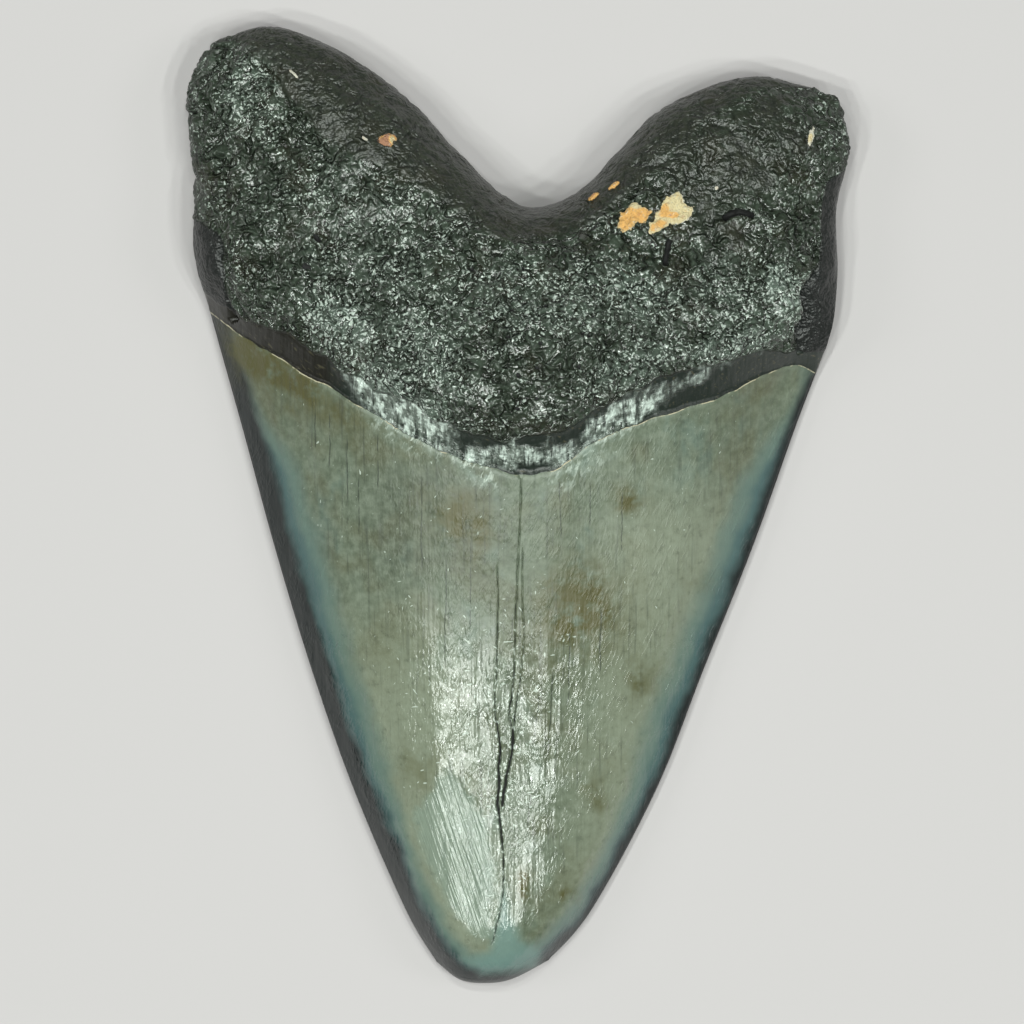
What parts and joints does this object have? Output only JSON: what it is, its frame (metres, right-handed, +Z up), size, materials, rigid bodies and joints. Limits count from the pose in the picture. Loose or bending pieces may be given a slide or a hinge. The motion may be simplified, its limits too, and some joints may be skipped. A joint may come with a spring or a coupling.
{
  "type": "megalodon tooth",
  "caption": "Fossil shark tooth: broad triangular grey-green enamel crown with a worn tip on a dark, rough root with two rounded lobes, lying flat on its labial face.",
  "frame": {"origin": "middle of the tooth's bounding box in plan, on the surface that it lies on", "axes": "+Z up out of the convex lingual face, -Y towards the crown's tip, +Y towards the root lobes, +X towards the shorter lobe"},
  "size_m": [0.0892, 0.129, 0.025],
  "materials": {
    "tooth": "mineralised fossil: satin grey-green enamel, glossy charcoal root with a wrinkled skin, a few specks of cream and orange matrix"
  },
  "bodies": {
    "root": {"tooth": "tooth"}
  },
  "joints": []
}
